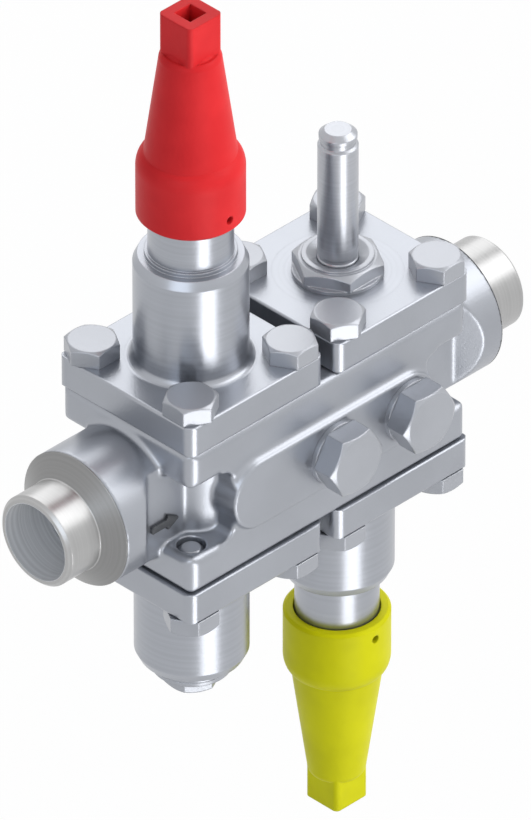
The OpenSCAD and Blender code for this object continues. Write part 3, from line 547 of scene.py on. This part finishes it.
def forged_housing():
    """The housing with the soft inner corners of a forging in its four pockets."""
    mesh = nodes["housing"].data.copy()
    mesh.name = "forged_housing"
    mesh.materials.clear()
    piece = piece_from("forged_housing", mesh, FORGED, "station")
    seams = bmesh.new()
    seams.from_mesh(mesh)
    bmesh.ops.remove_doubles(seams, verts=seams.verts, dist=0.001 * MM)
    seams.to_mesh(mesh)
    seams.free()
    skin = piece.modifiers.new("skin", "REMESH")
    skin.mode = "VOXEL"
    skin.voxel_size = SKIN_VOXEL
    bake_modifiers(piece)
    pockets = piece.vertex_groups.new(name="pockets")
    for point in piece.data.vertices:
        share = in_pocket(*point.co)
        if share > 0:
            pockets.add([point.index], share, "REPLACE")
    smooth(piece, "pocket corners", POCKET_PASSES).vertex_group = "pockets"
    smooth(piece, "all edges", EDGE_PASSES)
    bake_modifiers(piece)
    triangles = sum(len(face.vertices) - 2 for face in piece.data.polygons)
    piece.modifiers.new("fewer faces", "DECIMATE").ratio = HOUSING_TRIANGLES / triangles
    bake_modifiers(piece)
    piece.vertex_groups.clear()
    shade_smooth(piece.data)
    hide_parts("housing")


def flow_arrow():
    """Raised arrow on the neck beside the inlet boss, pointing along the flow."""
    tail, tip, middle_z = 37.6 * MM, 50.4 * MM, -5.6 * MM
    head, head_half, shaft_half = 5.5 * MM, 3.1 * MM, 1.4 * MM
    sunk, thickness, rounding = 0.6 * MM, 2.0 * MM, 0.35 * MM
    outline = [
        (tail, -shaft_half), (tip - head, -shaft_half), (tip - head, -head_half), (tip, 0.0),
        (tip - head, head_half), (tip - head, shaft_half), (tail, shaft_half),
    ]
    shape = bmesh.new()
    back_y = -HOUSING_NECK_HALF + sunk
    face = shape.faces.new([shape.verts.new((x, back_y, middle_z + z)) for x, z in outline])
    raised = bmesh.ops.extrude_face_region(shape, geom=[face])["geom"]
    front = [v for v in raised if isinstance(v, bmesh.types.BMVert)]
    bmesh.ops.translate(shape, vec=(0, -thickness, 0), verts=front)
    bmesh.ops.recalc_face_normals(shape, faces=shape.faces)
    bmesh.ops.bevel(shape, geom=shape.edges, offset=rounding, segments=3, affect="EDGES")
    piece_from("flow_arrow", mesh_from("flow_arrow", shape), ARROW, "station")


def neck_thread(name, x, z_from, z_to, material):
    """Helical ridge on the neck at x that a sealing cap screws onto. It fades out over one turn
    at each end, and its foot is sunk in the neck."""
    steps = 72                                  # to a turn
    foot_r = CAP_NECK_R - 0.3 * THREAD_DEPTH
    crest_half = 0.1                            # of the pitch
    turns = abs(z_to - z_from) / THREAD_PITCH - 1
    count = int(turns * steps)
    side = 1 if z_to > z_from else -1
    ridge = bmesh.new()
    rows = []
    for i in range(count + 1):
        angle = math.tau * i / steps
        fade = min(1.0, i / steps, (count - i) / steps)
        middle = z_from + side * (THREAD_PITCH / 2 + THREAD_PITCH * i / steps)
        crest_r = CAP_NECK_R + THREAD_DEPTH * fade
        profile = ((foot_r, -0.5), (crest_r, -crest_half), (crest_r, crest_half), (foot_r, 0.5))
        rows.append([
            ridge.verts.new((
                x + r * math.cos(angle), r * math.sin(angle), middle + rise * THREAD_PITCH * side
            ))
            for r, rise in profile
        ])
    for low, high in zip(rows, rows[1:]):
        for k in range(3):
            ridge.faces.new((low[k], high[k], high[k + 1], low[k + 1]))
    bmesh.ops.recalc_face_normals(ridge, faces=ridge.faces)
    piece_from(name, mesh_from(name, ridge), material, "station")


def neck_threads():
    """Threads of both sealing caps: the stop valve's above, the regulating valve's below."""
    start, end = CAP_NECK_TOP - 14.4 * MM, CAP_NECK_TOP - 1.2 * MM
    neck_thread("stop_neck_thread", STOP_X, start, end, STOP_COVER)
    neck_thread("regulating_neck_thread", SOLENOID_X, -start, -end, SOLENOID_COVER)


def coil_spring(name, node, wire, turns):
    """Spring with closed ends in a CAD node's place."""
    low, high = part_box(node)
    middle_x = (low.x + high.x) / 2
    coil_r = (high.x - low.x - wire) / 2
    foot, head = low.z + wire / 2, high.z - wire / 2
    end_rise = 1.05 * wire
    per_turn, sides = 28, 10

    def height(turn):
        if turn < 1:
            return foot + end_rise * turn
        if turn > turns - 1:
            return head - end_rise * (turns - turn)
        return foot + end_rise + (head - foot - 2 * end_rise) * (turn - 1) / (turns - 2)

    coil = bmesh.new()
    rings = []
    for i in range(turns * per_turn + 1):
        turn = i / per_turn
        ring = []
        for side in range(sides):
            around = math.tau * side / sides
            r = coil_r + wire / 2 * math.cos(around)
            ring.append(coil.verts.new((
                middle_x + r * math.cos(math.tau * turn), r * math.sin(math.tau * turn),
                height(turn) + wire / 2 * math.sin(around),
            )))
        rings.append(ring)
    for near, far in zip(rings, rings[1:]):
        for side in range(sides):
            after = (side + 1) % sides
            coil.faces.new((near[side], far[side], far[after], near[after]))
    coil.faces.new(rings[0])
    coil.faces.new(rings[-1])
    bmesh.ops.recalc_face_normals(coil, faces=coil.faces)
    spring = piece_from(name, mesh_from(name, coil), SPINDLE, "station")
    shade_smooth(spring.data)
    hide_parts(node)
    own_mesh(spring)


def springs():
    coil_spring("armature_coil", "armature_spring",
                wire=0.8 * MM, turns=7)
    coil_spring("piston_coil", "piston_spring",
                wire=1.4 * MM, turns=5)


# Light and camera

def sees_white(w):
    """1 for rays that should see the white background: camera, glossy and transmission rays."""
    path = w.add("ShaderNodeLightPath").outputs
    seen = w.math("ADD", path["Is Camera Ray"], path["Is Glossy Ray"])
    return w.math("ADD", seen, path["Is Transmission Ray"], clamp=True)


def white_surroundings():
    """White to look at, and a dim grey that lights the object from all round."""
    world = bpy.data.worlds.new("studio")
    bpy.context.scene.world = world
    world.use_nodes = True
    w = Wiring(world.node_tree)
    background = world.node_tree.nodes["Background"].inputs
    w.join(w.blend(sees_white(w), ROOM_LIGHT, (1, 1, 1)), background["Color"])
    background["Strength"].default_value = 1.0


def floor():
    """White floor that is clear from below, so that it hides the object from no side."""
    z = cad_box[0].z - FLOOR_DROP
    corners = [(-1, -1), (1, -1), (1, 1), (-1, 1)]
    mesh = bpy.data.meshes.new("floor")
    mesh.from_pydata([(FLOOR_HALF * x, FLOOR_HALF * y, z) for x, y in corners], [], [(0, 1, 2, 3)])
    material, w, surface = new_material("white floor")
    surface["Base Color"].default_value = FLOOR_WHITE
    surface["Roughness"].default_value = 0.9
    glow = w.add("ShaderNodeEmission")
    glow.inputs["Strength"].default_value = 1.0
    shader = material.node_tree.nodes["Principled BSDF"]
    above = w.add("ShaderNodeMixShader")
    w.join(w.math("MULTIPLY", sees_white(w), FLOOR_GLOW), above.inputs[0])
    w.join(shader.outputs[0], above.inputs[1])
    w.join(glow.outputs[0], above.inputs[2])
    one_way = w.add("ShaderNodeMixShader")
    w.join(w.add("ShaderNodeNewGeometry").outputs["Backfacing"], one_way.inputs[0])
    w.join(above.outputs[0], one_way.inputs[1])
    w.join(w.add("ShaderNodeBsdfTransparent").outputs[0], one_way.inputs[2])
    w.join(one_way.outputs[0], material.node_tree.nodes["Material Output"].inputs["Surface"])
    mesh.materials.append(material)
    plane = bpy.data.objects.new("floor", mesh)
    bpy.context.scene.collection.objects.link(plane)


def lamp(name, towards, size, power, colour=(1, 1, 1), distance=LAMP_DISTANCE, lights=True,
         shines=True):
    """Soft box of the given width and height, aimed at the middle of the object from the given
    side. It lights dull surfaces, shines in glossy ones, or both."""
    low, high = cad_box
    direction = Vector(towards).normalized()
    data = bpy.data.lights.new(name, "AREA")
    data.shape = "RECTANGLE"
    data.size, data.size_y = size
    data.energy = power
    data.color = colour
    light = bpy.data.objects.new(name, data)
    light.location = (low + high) / 2 + direction * distance
    light.rotation_euler = direction.to_track_quat("Z", "Y").to_euler()
    light.visible_camera = False
    light.visible_diffuse = lights
    light.visible_glossy = shines
    bpy.context.scene.collection.objects.link(light)


def lamps():
    lamp("key right", (0.5, -1.0, 0.6), (1.3, 1.3), 21.5, (1.0, 0.99, 0.97), shines=False)
    lamp("sheen right", (0.59, -0.38, 0.71), (1.1, 1.1), 7.8, lights=False)
    lamp("fill left", (-1.0, -0.45, 0.45), (1.0, 1.0), 4.6, (0.8, 0.89, 1.0))
    lamp("back top", (0.8, 1.0, 1.0), (1.2, 1.2), 5.5)
    lamp("fill back", (0.6, 1.0, 0.25), (1.2, 1.2), 7, shines=False)
    lamp("low strip", (-0.22, -0.97, -0.7), (0.42, 0.55), 2.4, distance=0.9, lights=False)


def camera():
    """Long lens from the front left and above, so that the view is close to isometric."""
    data = bpy.data.cameras.new("camera")
    data.lens = CAMERA_LENS
    data.sensor_width = CAMERA_SENSOR
    data.clip_start = 0.1
    data.clip_end = 50
    eye = bpy.data.objects.new("camera", data)
    back = Vector(CAMERA_FROM).normalized()
    eye.location = Vector(CAMERA_AIM) + back * CAMERA_DISTANCE
    eye.rotation_euler = back.to_track_quat("Z", "Y").to_euler()
    bpy.context.scene.collection.objects.link(eye)
    bpy.context.scene.camera = eye


finish_frame()
forged_housing()
flow_arrow()
neck_threads()
springs()
white_surroundings()
floor()
lamps()
camera()
bpy.context.scene.view_settings.view_transform = "Standard"
